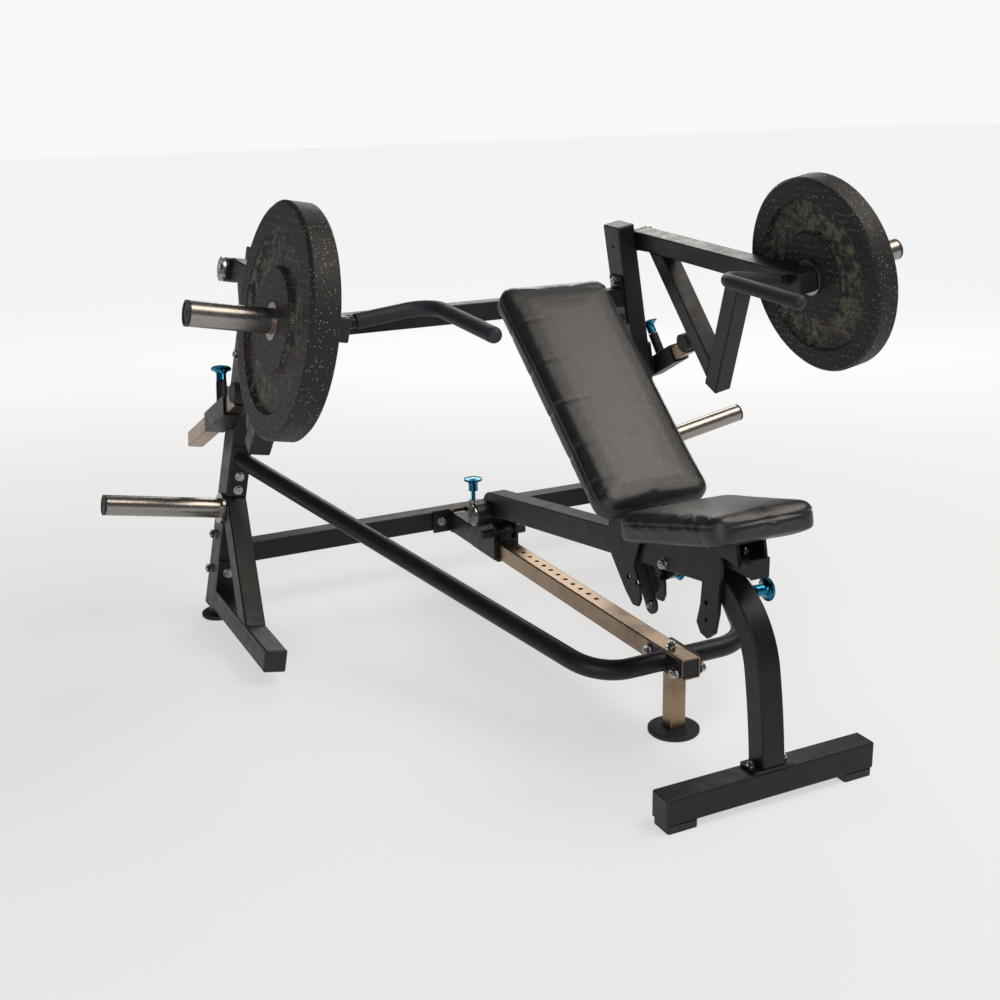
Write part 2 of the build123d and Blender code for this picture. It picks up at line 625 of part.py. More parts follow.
SPINE_HALF = SPINE_HEIGHT / 2 / cos(radians(SPINE_SLOPE))
EAR_R = 17.0
STUB = ((-616.0, 416.0), (-486.0, 416.0))
STUB_SIZE = (40.0, 38.0)
with BuildPart() as spine:
    with BuildSketch(middle(-TUBE / 2)) as outline:
        with BuildLine():
            Polyline((SPINE_FRONT, spine_z(SPINE_FRONT) + SPINE_HALF), (512, spine_z(512) + SPINE_HALF),
                     (512, 192), (462, 192), (452, spine_z(452) - SPINE_HALF),
                     (SPINE_FRONT, spine_z(SPINE_FRONT) - SPINE_HALF), close=True)
        make_face()
        rear_top = outline.vertices().sort_by_distance(Vector(512, spine_z(512) + SPINE_HALF))[0]
        fillet(rear_top, 45)
        rear_low = outline.vertices().sort_by_distance(Vector(512, 192))[0]
        fillet(rear_low, 24)
    extrude(amount=TUBE)
    box_edges = spine.edges().filter_by(GeomType.LINE)
    fillet([e for e in box_edges if e.length > 800], ROUND)
    slab(middle(-TUBE / 2 + WALL), [(SPINE_FRONT - 1, spine_z(SPINE_FRONT) + SPINE_HALF - WALL),
                                    (430, spine_z(430) + SPINE_HALF - WALL),
                                    (430, spine_z(430) - SPINE_HALF + WALL),
                                    (SPINE_FRONT - 1, spine_z(SPINE_FRONT) - SPINE_HALF + WALL)],
         TUBE - 2 * WALL, mode=Mode.SUBTRACT)
    disc(middle(-TUBE), HINGE, HINGE_R + 0.05, 2 * TUBE, mode=Mode.SUBTRACT)
    for x in (19.0, -25.0):
        slab(middle(x), [(-350, spine_z(-350) + 26), (-212, spine_z(-212) + 26), (-229, 402), (-331, 402)],
             6, 8)
        for pivot in (BACK_PIVOT, SEAT_PIVOT):
            disc(middle(x), pivot, EAR_R, 6)
    for pivot in (BACK_PIVOT, SEAT_PIVOT):
        disc(middle(-TUBE), pivot, 8.0, 2 * TUBE, mode=Mode.SUBTRACT)
    box_tube(middle(), STUB[1], STUB[0], STUB_SIZE[0], STUB_SIZE[1])
    slab(middle(-STUB_SIZE[0] / 2), [(STUB[0][0], 397), (STUB[0][0] - 4, 397), (STUB[0][0] - 4, 435),
                                     (STUB[0][0], 435)], STUB_SIZE[0])
    slab(middle(-STUB_SIZE[0] / 2), [(SPINE_FRONT + 0.1, 379), (STUB[1][0], 379), (STUB[1][0], 398),
                                     (SPINE_FRONT + 0.1, 398)], STUB_SIZE[0])
save("spine", spine.part)

LEG_R1 = 1476.0
LEG_R2 = 176.0
with BuildPart() as curved_leg:
    with BuildLine(middle()) as route:
        lower = JernArc(start=(-660, 46), tangent=(sin(radians(4)), cos(radians(4))), radius=LEG_R1,
                        arc_size=-7)
        upper = JernArc(start=lower @ 1, tangent=lower % 1, radius=LEG_R2, arc_size=-57)
        Line(upper @ 1, (upper @ 1) + (upper % 1) * 62)
    with BuildSketch(Plane(origin=route.line @ 0, x_dir=(1, 0, 0), z_dir=route.line % 0)):
        RectangleRounded(TUBE, 48, ROUND)
        Rectangle(TUBE - 2 * WALL, 48 - 2 * WALL, mode=Mode.SUBTRACT)
    sweep()
    slab(middle(-TUBE), [(SPINE_FRONT, spine_z(SPINE_FRONT) + 80), (-400, 460), (-400, 300),
                         (SPINE_FRONT, spine_z(SPINE_FRONT) - SPINE_HALF)], 2 * TUBE, mode=Mode.SUBTRACT)
    with BuildSketch(Plane.XY.offset(FLOOR + 40)):
        with Locations((0, -661 - MID_Y)):
            RectangleRounded(90, 50, 5)
    extrude(amount=PLATE)
save("curved_leg", curved_leg.part)

FOOT_HALF = 236.6
FOOT_TOP = 40.0
FOOT_LOW = -15.0
with BuildPart() as front_foot:
    with BuildSketch(Plane(origin=world(-FOOT_HALF + 5, FOOT_FRONT + 25, (FOOT_TOP + FOOT_LOW) / 2),
                           x_dir=(0, 1, 0), z_dir=(1, 0, 0))):
        RectangleRounded(TUBE, FOOT_TOP - FOOT_LOW, ROUND)
        Rectangle(TUBE - 2 * WALL, FOOT_TOP - FOOT_LOW - 2 * WALL, mode=Mode.SUBTRACT)
    extrude(amount=2 * FOOT_HALF - 10)
save("front_foot", front_foot.part)

with BuildPart() as foot_caps:
    with BuildSketch(Plane(origin=world(FOOT_HALF - 5, FOOT_FRONT + 25, (FOOT_TOP + FOOT_LOW) / 2),
                           x_dir=(0, 1, 0), z_dir=(1, 0, 0))):
        RectangleRounded(TUBE, FOOT_TOP - FOOT_LOW, ROUND)
    extrude(amount=5)
    chamfer(foot_caps.faces().sort_by(Axis.X)[-1].edges(), 2.5)
    with BuildSketch(Plane(origin=world(FOOT_HALF - 4, FOOT_FRONT + 25, -FLOOR), z_dir=(0, 0, 1))):
        with Locations((-32, 0)):
            RectangleRounded(64, TUBE, 5)
    extrude(amount=FOOT_LOW + FLOOR)
    mirror(about=Plane.YZ)
save("foot_caps", foot_caps.part)

LUGS = ((-11.0, (-270.0, 229.0), 21.0), (5.0, (-255.0, 262.0), 18.0))
LINK = (-338.0, 345.0)
PULL = (-222.0, 268.0)
SEAT_PULL = (-502.0, 318.0)
SEAT_PULL_X = 31.0
with BuildPart() as pin_bracket:
    for x, tip, radius in LUGS:
        slab(middle(x), [(-190, spine_z(-190) - SPINE_HALF), (-238, spine_z(-238) - SPINE_HALF),
                         (tip[0] - radius + 3, tip[1] + 8), (tip[0] + radius - 2, tip[1] - 6)], 6)
        disc(middle(x), tip, radius, 6)
    disc(middle(25), LINK, 17, 12)
    with BuildSketch(middle(37)):
        with Locations(((LINK[0] + PULL[0]) / 2, (LINK[1] + PULL[1]) / 2)):
            SlotCenterToCenter(span(LINK, PULL), 34,
                               rotation=degrees(atan2(PULL[1] - LINK[1], PULL[0] - LINK[0])))
    extrude(amount=6)
    disc(middle(36), PULL, 6.0, 10, mode=Mode.SUBTRACT)
    slab(middle(25), [(-499, 340), (-499, 372), (-462, 366), (-470, 330), (-486, 304), (-515, 302),
                      (-519, 326)], SEAT_PULL_X - 25, 5)
    disc(middle(24), SEAT_PULL, PIN_BORE_R, 10, mode=Mode.SUBTRACT)
save("pin_bracket", pin_bracket.part)

with BuildPart() as bench_fittings:
    for pivot in (BACK_PIVOT, SEAT_PIVOT):
        disc(middle(-36), pivot, 8.0, 72)
        hex_head(middle(36), pivot)
        hex_head(flipped(middle(-36)), (-pivot[0], pivot[1]))
    with BuildSketch(middle(43)):
        with Locations(PULL):
            Circle(11)
            Circle(PIN_BORE_R, mode=Mode.SUBTRACT)
    extrude(amount=12)
    hex_head(middle(43), LINK, 17)
    hex_head(flipped(middle(-25)), (342, 343), 17)
    hex_head(flipped(middle(-11)), (270, 229), 13, 6)
    with BuildSketch(middle(SEAT_PULL_X)):
        with Locations(SEAT_PULL):
            Circle(11)
            Circle(PIN_BORE_R, mode=Mode.SUBTRACT)
    extrude(amount=35)
    hex_head(Plane(origin=world(0, -573, STUB[0][1] + STUB_SIZE[1] / 2), z_dir=(0, 0, 1)), (0, 0), 11, 4)
    for x in (-35, 35):
        hex_head(Plane(origin=world(x, -661, 46), z_dir=(0, 0, 1)), (0, 0), 13, 7)
save("bench_fittings", bench_fittings.part)

with BuildPart() as back_pin:
    pop_knob(Plane(origin=world(43, *PULL), x_dir=(0, 1, 0), z_dir=(1, 0, 0)), 0.1 - PLATE,
             disc_r=20.0, reach=16.0)
save("backrest_pin", back_pin.part)

with BuildPart() as seat_pin:
    pop_knob(Plane(origin=world(SEAT_PULL_X, *SEAT_PULL), x_dir=(0, 1, 0), z_dir=(1, 0, 0)), 0.1 - PLATE,
             reach=45.0)
save("seat_pin", seat_pin.part)

# ---------------------------------------------------------------- backrest
BACK_DIR = (cos(radians(BACK_ANGLE)), sin(radians(BACK_ANGLE)))
BACK_NORMAL = (-BACK_DIR[1], BACK_DIR[0])


def on_back(length, depth):
    """A point length up the backrest and depth behind its front face."""
    return (BACK_BOTTOM[0] + BACK_DIR[0] * length - BACK_NORMAL[0] * depth,
            BACK_BOTTOM[1] + BACK_DIR[1] * length - BACK_NORMAL[1] * depth)


def cushion(origin, along, normal, widths, length, corner):
    """A plain padded board: widths at its start and end, its face on the origin's side."""
    plane = Plane(origin=origin, x_dir=(1, 0, 0), z_dir=normal)
    turn = 1 if (plane.y_dir.dot(along) > 0) else -1
    first, last = widths[0] / 2, widths[1] / 2
    with BuildSketch(plane) as outline:
        with BuildLine():
            Polyline((-first, 0), (first, 0), (last, turn * length), (-last, turn * length), close=True)
        make_face()
        fillet(outline.vertices(), corner)
    extrude(outline.sketch, amount=PAD_THICK)


with BuildPart() as backrest_pad:
    low = world(0, *on_back(0, PAD_THICK))
    cushion(low, Vector(0, *BACK_DIR), Vector(0, *BACK_NORMAL), BACK_WIDTHS, BACK_LENGTH, 34)
    front_edges = backrest_pad.faces().sort_by(Axis(low, (0, *BACK_NORMAL)))[-1].edges()
    fillet(front_edges, 12)
save("backrest_pad", backrest_pad.part)

SECTOR_R = 123.3
SECTOR_HOLES = (-3.0, 12.6)
with BuildPart() as backrest_frame:
    for x in (EAR_X, -EAR_X - PLATE):
        slab(middle(x), [on_back(18, PAD_THICK + 5), on_back(430, PAD_THICK + 5),
                         on_back(430, PAD_THICK + 35), on_back(120, PAD_THICK + 42),
                         (-138, 330), (-147, 307), (-173, 279), (-207, 243),
                         (-236, 221), (-256, 223), (-264, 240), (-262, 266), (-238, 310), (-268, 384),
                         (-262, 412)], PLATE)
        disc(middle(x - GAP), BACK_PIVOT, 8.05, PLATE + 2 * GAP, mode=Mode.SUBTRACT)
        for angle in SECTOR_HOLES:
            hole = (BACK_PIVOT[0] + SECTOR_R * sin(radians(angle)),
                    BACK_PIVOT[1] - SECTOR_R * cos(radians(angle)))
            disc(middle(x - GAP), hole, 6.2, PLATE + 2 * GAP, mode=Mode.SUBTRACT)
    for length in (90, 330):
        with BuildSketch(Plane(origin=world(0, *on_back(length, PAD_THICK)), x_dir=(1, 0, 0),
                               z_dir=(0, -BACK_NORMAL[0], -BACK_NORMAL[1]))):
            RectangleRounded(200, 42, 6)
        extrude(amount=5)
save("backrest_frame", backrest_frame.part)

# ---------------------------------------------------------------- seat
SEAT_DIR = (cos(radians(SEAT_ANGLE)), -sin(radians(SEAT_ANGLE)))
SEAT_NORMAL = (sin(radians(SEAT_ANGLE)), cos(radians(SEAT_ANGLE)))


def on_seat(length, height):
    """A point length behind the seat's front edge and height over its underside."""
    return (SEAT_FRONT[0] + SEAT_DIR[0] * length + SEAT_NORMAL[0] * height,
            SEAT_FRONT[1] + SEAT_DIR[1] * length + SEAT_NORMAL[1] * height)


with BuildPart() as seat_pad:
    low = world(0, *on_seat(0, 0))
    cushion(low, Vector(0, *SEAT_DIR), Vector(0, *SEAT_NORMAL), SEAT_WIDTHS, SEAT_LENGTH, 32)
    top_edges = seat_pad.faces().sort_by(Axis(low, (0, *SEAT_NORMAL)))[-1].edges()
    fillet(top_edges, 12)
save("seat_pad", seat_pad.part)

RAIL_OUTLINE = [on_seat(60, -5), on_seat(306, -5), (-300, 404), (-301, 384), (-330, 381), on_seat(210, -38)]
LEVER_OUTLINE = [(-484, 392), (-487, 348), (-483, 308), (-472, 268), (-486, 249), (-509, 245), (-530, 262),
                 (-540, 305), (-544, 370), (-546, 424)]
LEVER_HOLES = ((SEAT_PULL, PIN_BORE_R), ((-503.4, 282.4), 5.5))
LEVER_THICK = 8.0
with BuildPart() as seat_frame:
    slab(middle(EAR_X), RAIL_OUTLINE + [on_seat(96, -50), on_seat(60, -50)], PLATE)
    slab(middle(-EAR_X - LEVER_THICK), RAIL_OUTLINE + LEVER_OUTLINE + [on_seat(60, -50)], LEVER_THICK)
    disc(middle(-EAR_X - LEVER_THICK - GAP), SEAT_PIVOT, 8.05, 2 * EAR_X + PLATE + LEVER_THICK + 2 * GAP,
         mode=Mode.SUBTRACT)
    for hole, radius in LEVER_HOLES:
        disc(middle(-EAR_X - LEVER_THICK - GAP), hole, radius, LEVER_THICK + 2 * GAP, mode=Mode.SUBTRACT)
    for length in (75, 180):
        with BuildSketch(Plane(origin=world(0, *on_seat(length, 0)), x_dir=(1, 0, 0),
                               z_dir=(0, -SEAT_NORMAL[0], -SEAT_NORMAL[1]))):
            RectangleRounded(150, 36, 6)
        extrude(amount=5)
save("seat_frame", seat_frame.part)

# ---------------------------------------------------------------- fasteners of the fixed frame
with BuildPart() as frame_bolts:
    for u, behind in ((92, 20), (185, 20), (655, 0), (763, 0)):
        hex_head(flipped(side(-HALF_W - PLATE)), (-upright_y(u) - behind, u))
        hex_head(side(HALF_W), (upright_y(u) + behind, u))
    for u, size in ((100, 19), (355, 17), (320, 17)):
        face = Plane(origin=on(side(), (upright_front(u) - PLATE, u)), x_dir=side().z_dir, z_dir=ahead.z_dir)
        hex_head(face, (0, 0), size)
    for y, z in ((-294, 139.5), (-394, 126)):
        hex_head(middle(RAIL / 2 + PLATE), (y, z), 17)
    hex_head(Plane(origin=world(RAIL / 2 + PLATE + 23, RAIL_REAR - 8, LOWER_BAR[1]), x_dir=(1, 0, 0),
                   z_dir=(0, -1, 0)), (0, 0), 17)
    mirror(about=Plane.YZ)
    hex_head(Plane(origin=world(0, -335, RAIL_TOP), z_dir=(0, 0, 1)), (0, 0), 15, 8)
save("frame_bolts", frame_bolts.part)
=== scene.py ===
"""Looks for the plate-loaded press machine: materials, sewn cushions, lights, floor and camera."""
import json
import math

import bmesh
import bpy
from mathutils import Matrix, Vector


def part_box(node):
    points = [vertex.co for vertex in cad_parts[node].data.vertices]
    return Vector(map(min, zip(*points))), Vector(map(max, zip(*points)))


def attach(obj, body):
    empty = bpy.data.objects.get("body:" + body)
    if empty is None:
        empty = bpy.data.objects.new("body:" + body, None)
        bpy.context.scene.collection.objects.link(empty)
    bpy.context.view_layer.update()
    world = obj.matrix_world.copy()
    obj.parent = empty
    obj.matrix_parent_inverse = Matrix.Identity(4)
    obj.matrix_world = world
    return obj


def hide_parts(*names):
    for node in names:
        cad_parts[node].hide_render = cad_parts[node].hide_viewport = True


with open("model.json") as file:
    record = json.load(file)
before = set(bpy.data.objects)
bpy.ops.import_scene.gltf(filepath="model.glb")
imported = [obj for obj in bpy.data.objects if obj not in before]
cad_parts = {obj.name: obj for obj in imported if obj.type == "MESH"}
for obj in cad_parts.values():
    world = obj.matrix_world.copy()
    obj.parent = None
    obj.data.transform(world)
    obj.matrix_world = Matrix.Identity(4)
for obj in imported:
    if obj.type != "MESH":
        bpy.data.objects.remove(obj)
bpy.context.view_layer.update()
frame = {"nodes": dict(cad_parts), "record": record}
nodes = frame["nodes"]
scene = bpy.context.scene

# ------------------------------------------------------------------ material helpers


class Mat:
    """A node material built on one Principled shader, with short ways to add nodes."""

    def __init__(self, name, **values):
        self.material = bpy.data.materials.new(name)
        self.material.use_nodes = True
        self.tree = self.material.node_tree
        self.shader = self.tree.nodes["Principled BSDF"]
        for socket, value in values.items():
            self.set(self.shader, socket.replace("_", " "), value)

    def set(self, node, socket, value):
        target = node.inputs[socket]
        if hasattr(target.default_value, "__len__") and not hasattr(value, "__len__"):
            value = (value, value, value, 1)
        elif hasattr(value, "__len__") and len(value) == 3 and len(target.default_value) == 4:
            value = (*value, 1)
        target.default_value = value

    def node(self, kind, inputs=None, **settings):
        made = self.tree.nodes.new(kind)
        for key, value in settings.items():
            setattr(made, key, value)
        for socket, value in (inputs or {}).items():
            if isinstance(value, bpy.types.NodeSocket):
                self.tree.links.new(value, made.inputs[socket])
            else:
                self.set(made, socket, value)
        return made

    def place(self, scale=(1, 1, 1), shift=(0, 0, 0)):
        """Object coordinates, stretched or shifted."""
        coordinates = self.node("ShaderNodeTexCoord").outputs["Object"]
        mapping = self.node("ShaderNodeMapping", {"Vector": coordinates})
        mapping.inputs["Scale"].default_value = scale
        mapping.inputs["Location"].default_value = shift
        return mapping.outputs[0]

    def noise(self, scale, detail=3.0, rough=0.55, vector=None, distortion=0.0):
        made = self.node("ShaderNodeTexNoise", {"Scale": scale, "Detail": detail, "Roughness": rough,
                                                "Distortion": distortion})
        self.tree.links.new(vector or self.place(), made.inputs["Vector"])
        return made.outputs[0]

    def cells(self, scale, feature="F1"):
        made = self.node("ShaderNodeTexVoronoi", {"Scale": scale}, feature=feature)
        self.tree.links.new(self.place(), made.inputs["Vector"])
        return made

    def ramp(self, value, stops, ease="LINEAR"):
        made = self.node("ShaderNodeValToRGB", {0: value})
        made.color_ramp.interpolation = ease
        while len(made.color_ramp.elements) < len(stops):
            made.color_ramp.elements.new(0.5)
        for element, (at, colour) in zip(made.color_ramp.elements, stops):
            element.position = at
            element.color = (*colour, 1) if hasattr(colour, "__len__") else (colour, colour, colour, 1)
        return made.outputs[0]

    def spread(self, value, low, high, from_low=0.0, from_high=1.0):
        """Map a value from one range to another."""
        made = self.node("ShaderNodeMapRange", {"Value": value, "From Min": from_low, "From Max": from_high,
                                                "To Min": low, "To Max": high})
        return made.outputs[0]

    def math(self, operation, a, b=0.0):
        return self.node("ShaderNodeMath", {0: a, 1: b}, operation=operation).outputs[0]

    def vector(self, operation, inputs):
        return self.node("ShaderNodeVectorMath", inputs, operation=operation)

    def mix(self, factor, a, b, blend="MIX"):
        made = self.node("ShaderNodeMix", data_type="RGBA", blend_type=blend)
        for socket, value in ((made.inputs[0], factor), (made.inputs[6], a), (made.inputs[7], b)):
            if isinstance(value, bpy.types.NodeSocket):
                self.tree.links.new(value, socket)
            else:
                socket.default_value = (*value, 1) if hasattr(value, "__len__") else value
        return made.outputs[2]

    def bump(self, height, strength, distance, below=None):
        inputs = {"Height": height, "Strength": strength, "Distance": distance}
        if below is not None:
            inputs["Normal"] = below
        return self.node("ShaderNodeBump", inputs).outputs[0]

    def rounded(self, radius):
        """Normals that soften sharp edges by radius."""
        return self.node("ShaderNodeBevel", {"Radius": radius}, samples=4).outputs[0]

    def plug(self, socket, value):
        """Feed a texture into one of the shader's own sockets."""
        self.tree.links.new(value, self.shader.inputs[socket])
        return self

    def done(self):
        return self.material


# ------------------------------------------------------------------ materials


def black_paint():
    """Near-black powder coat with fine orange peel, soft clouding and a little dust."""
    mat = Mat("black_powder_coat", Roughness=0.4, Specular_IOR_Level=0.30)
    cloud = mat.ramp(mat.noise(9, 4, 0.6), [(0.35, 0.0), (0.7, 1.0)])
    base = mat.mix(cloud, (0.0045, 0.0042, 0.0054), (0.0085, 0.0077, 0.0085))
    dust = mat.ramp(mat.noise(220, 5, 0.75), [(0.60, 0.0), (0.78, 1.0)])
    base = mat.mix(mat.math("MULTIPLY", dust, 0.10), base, (0.035, 0.032, 0.030))
    mat.plug("Base Color", base)
    mat.plug("Roughness", mat.spread(mat.noise(35, 4, 0.65), 0.34, 0.50, 0.3, 0.7))
    mat.plug("Normal", mat.bump(mat.noise(900, 2, 0.5), 0.22, 0.0004, mat.rounded(0.0015)))
    return mat.done()


def plated_tube():
    """Plated box tube with draw lines along it and dull, darker patches; the bronze tint is a painted
    reflection.
    """
    mat = Mat("plated_tube_painted_reflection", Metallic=1.0, Roughness=0.26)
    lines = mat.noise(40, 4, 0.6, mat.place((30, 0.6, 30)))
    patches = mat.noise(7, 5, 0.65, distortion=0.6)
    # Painted reflection: the bronze tint, in two tones set by the patches, stands for a wooden floor
    # mirrored in the plating.
    base = mat.mix(mat.ramp(patches, [(0.3, 0.0), (0.75, 1.0)]), (0.21, 0.142, 0.090), (0.37, 0.270, 0.185))
    # Noise darkens the tube in patches at random.
    darker_patches = mat.ramp(mat.noise(5.5, 4, 0.6, mat.place(shift=(0.3, 0.1, 0))), [(0.52, 0.0), (0.66, 1.0)])
    base = mat.mix(mat.math("MULTIPLY", darker_patches, 0.65), base, (0.075, 0.058, 0.045))
    mat.plug("Base Color", base)
    rough = mat.math("ADD", mat.spread(patches, 0.18, 0.36, 0.3, 0.7), mat.math("MULTIPLY", lines, 0.08))
    mat.plug("Roughness", rough)
    mat.plug("Normal", mat.bump(lines, 0.12, 0.0004, mat.rounded(0.001)))
    return mat.done()


def turned_steel(name, dark, light):
    """Turned sleeve with fine rings and faint rub marks."""
    mat = Mat(name, Metallic=1.0, Roughness=0.3)
    marks = mat.ramp(mat.noise(28, 4, 0.6, mat.place((1.0, 5, 5))), [(0.3, 0.0), (0.75, 1.0)])
    fine = mat.noise(420, 3, 0.6, mat.place((1.0, 0.06, 0.06)))
    mat.plug("Base Color", mat.mix(marks, dark, light))
    mat.plug("Roughness", mat.spread(fine, 0.22, 0.32, 0.3, 0.7))
    mat.plug("Normal", mat.bump(fine, 0.08, 0.0002, mat.rounded(0.0012)))
    return mat.done()


def zinc():
    mat = Mat("zinc_plate", Metallic=1.0, Roughness=0.25)
    spangle = mat.cells(260).outputs["Color"]
    tone = mat.ramp(mat.noise(90, 4, 0.6), [(0.35, (0.26, 0.25, 0.235)), (0.7, (0.50, 0.485, 0.46))])
    mat.plug("Base Color", mat.mix(0.06, tone, spangle, "MULTIPLY"))
    mat.plug("Roughness", mat.spread(mat.noise(140, 3), 0.16, 0.36, 0.3, 0.7))
    mat.plug("Normal", mat.bump(mat.noise(400, 2), 0.1, 0.0003, mat.rounded(0.0006)))
    return mat.done()


def blue_anodised():
    mat = Mat("blue_anodised_finish", Metallic=1.0, Roughness=0.2, Coat_Weight=0.3, Coat_Roughness=0.08)
    turned = mat.noise(300, 2, 0.5)
    mat.plug("Base Color", mat.mix(turned, (0.0, 0.095, 0.19), (0.006, 0.20, 0.33)))
    mat.plug("Roughness", mat.spread(turned, 0.15, 0.28, 0.3, 0.7))
    mat.plug("Normal", mat.bump(turned, 0.05, 0.0002, mat.rounded(0.0008)))
    return mat.done()


def rubber(name, colour=(0.012, 0.012, 0.013), rough=0.6, grain=700):
    mat = Mat(name, Roughness=rough, Specular_IOR_Level=0.32)
    bits = mat.noise(grain, 3, 0.6)
    mat.plug("Base Color", mat.mix(mat.noise(30, 4), colour, tuple(c * 1.7 for c in colour)))
    mat.plug("Roughness", mat.spread(bits, rough - 0.08, rough + 0.1, 0.3, 0.7))
    mat.plug("Normal", mat.bump(bits, 0.35, 0.0005, mat.rounded(0.0015)))
    return mat.done()


def moulded_plastic():
    mat = Mat("moulded_plastic", Roughness=0.5, Specular_IOR_Level=0.4)
    grain = mat.cells(900).outputs["Distance"]
    mat.plug("Base Color", mat.mix(mat.noise(25, 4), (0.008, 0.008, 0.009), (0.017, 0.016, 0.016)))
    mat.plug("Roughness", mat.spread(mat.noise(200, 3), 0.42, 0.58, 0.3, 0.7))
    mat.plug("Normal", mat.bump(grain, 0.2, 0.0004, mat.rounded(0.001)))
    return mat.done()


# The sunk ring on both faces of a weight plate, in metres from its axis and from its middle plane
RECESS_START = 0.1035
RECESS_END = 0.1785
RECESS_HALF_WIDTH = 0.0265


def fleck_rubber(name, centre, axis):
    """Crumb rubber with pale flecks; the sunk ring between the plate's hub and rim is mottled."""
    mat = Mat(name, Roughness=0.6, Specular_IOR_Level=0.32)
    place = mat.place()
    axis = tuple(axis)
    away = mat.vector("SUBTRACT", {0: place, 1: tuple(centre)}).outputs[0]
    along = mat.vector("DOT_PRODUCT", {0: away, 1: axis}).outputs["Value"]
    on_axis = mat.vector("SCALE", {0: axis, "Scale": along}).outputs[0]
    radial = mat.vector("SUBTRACT", {0: away, 1: on_axis}).outputs[0]
    radius = mat.vector("LENGTH", {0: radial}).outputs["Value"]
    inside = mat.math("MULTIPLY", mat.math("GREATER_THAN", radius, RECESS_START),
                      mat.math("LESS_THAN", radius, RECESS_END))
    inner_flat = mat.math("LESS_THAN", mat.math("ABSOLUTE", along), RECESS_HALF_WIDTH)
    recess = mat.math("MULTIPLY", inside, inner_flat)
    crumbs = mat.cells(330)
    body = mat.mix(mat.noise(80, 5, 0.7), (0.0050, 0.0048, 0.0055), (0.0125, 0.0112, 0.0108))
    crumb = mat.ramp(mat.noise(420, 3, 0.8), [(0.52, 0.0), (0.72, 1.0)])
    body = mat.mix(mat.math("MULTIPLY", crumb, 0.28), body, (0.085, 0.078, 0.068))
    blotch = mat.ramp(mat.noise(44, 4, 0.6, distortion=0.5), [(0.44, 0.0), (0.60, 1.0)])
    red = mat.ramp(mat.noise(9, 3, 0.5, mat.place(shift=(0.2, 0.5, 0.1))), [(0.46, 0.0), (0.60, 1.0)])
    light = mat.mix(red, (0.105, 0.100, 0.062), (0.060, 0.030, 0.020))
    mottle = mat.mix(blotch, (0.011, 0.010, 0.010), light)
    spots = mat.ramp(mat.noise(130, 3, 0.6), [(0.62, 0.0), (0.70, 1.0)])
    mottle = mat.mix(mat.math("MULTIPLY", spots, 0.6), mottle, (0.22, 0.215, 0.165))
    body = mat.mix(mat.math("MULTIPLY", recess, 0.9), body, mottle)
    size = mat.ramp(crumbs.outputs["Distance"], [(0.17, 1.0), (0.28, 0.0)])
    rare = mat.node("ShaderNodeSeparateColor", {0: crumbs.outputs["Color"]})
    chosen = mat.math("GREATER_THAN", rare.outputs[0], 0.84)
    fleck = mat.math("MULTIPLY", size, chosen)
    tint = mat.mix(rare.outputs[1], (0.62, 0.50, 0.16), (0.72, 0.70, 0.64))
    mat.plug("Base Color", mat.mix(fleck, body, tint))
    mat.plug("Roughness", mat.spread(mat.noise(300, 3), 0.5, 0.68, 0.3, 0.7))
    bits = mat.bump(mat.noise(600, 3, 0.6), 0.35, 0.0006, mat.rounded(0.002))
    mat.plug("Normal", mat.bump(crumbs.outputs["Distance"], 0.18, 0.0005, bits))
    return mat.done()


def vinyl():
    """Black grained vinyl with a soft sheen, small pebbles and a few shallow wrinkles."""
    mat = Mat("black_vinyl", Roughness=0.36, Specular_IOR_Level=0.55)
    pebbles = mat.cells(620, "SMOOTH_F1").outputs["Distance"]
    fine = mat.noise(1400, 2, 0.5)
    folds = mat.noise(16, 4, 0.55, mat.place((0.7, 3.0, 3.0)), 0.4)
    mat.plug("Base Color", mat.mix(mat.noise(14, 3), (0.0048, 0.0046, 0.0054), (0.0085, 0.0080, 0.0084)))
    mat.plug("Roughness", mat.spread(pebbles, 0.26, 0.40, 0.0, 0.6))
    shape = mat.bump(folds, 0.22, 0.0025)
    grain = mat.bump(pebbles, 0.8, 0.0006, shape)
    mat.plug("Normal", mat.bump(fine, 0.15, 0.0002, grain))
    return mat.done()


def thread():
    mat = Mat("seam_thread", Roughness=0.6)
    mat.plug("Base Color", mat.mix(mat.noise(900, 2), (0.03, 0.03, 0.032), (0.09, 0.09, 0.09)))
    mat.plug("Normal", mat.bump(mat.noise(1500, 2), 0.4, 0.0002))
    return mat.done()


finishes = {
    "black_paint": black_paint(),
    "plated_tube": plated_tube(),
    "bright_horn": turned_steel("brushed_sleeve", (0.27, 0.245, 0.225), (0.34, 0.315, 0.29)),
    # The steel bush's brown tones are a painted reflection of a wooden floor.
    "steel_ring": turned_steel("steel_bush_painted_reflection", (0.20, 0.13, 0.09), (0.27, 0.19, 0.14)),
    "zinc_hardware": zinc(),
    "blue_anodised": blue_anodised(),
    "grip_rubber": rubber("grip_rubber", (0.014, 0.0145, 0.018), 0.55, 1100),
    "floor_rubber": rubber("floor_rubber"),
    "moulded_cap": moulded_plastic(),
}
slots = {entry["node"]: entry["material_slot"] for entry in frame["record"]["subparts"]}
FRAME_LEAN = math.radians(10.47)


def middle_of(node):
    low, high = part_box(node)
    return (low + high) / 2


def dress(node, material):
    mesh = nodes[node].data
    mesh.materials.clear()
    mesh.materials.append(material)
    for face in mesh.polygons:
        face.material_index = 0


for node, slot in slots.items():
    if slot in finishes:
        dress(node, finishes[slot])
for side, sign in (("right", 1), ("left", -1)):
    plate = side + "_weight_plate"
    axis = Vector((sign * math.cos(FRAME_LEAN), 0, math.sin(FRAME_LEAN)))
    dress(plate, fleck_rubber(side + "_plate_rubber", middle_of(plate), axis))

# ------------------------------------------------------------------ cushions

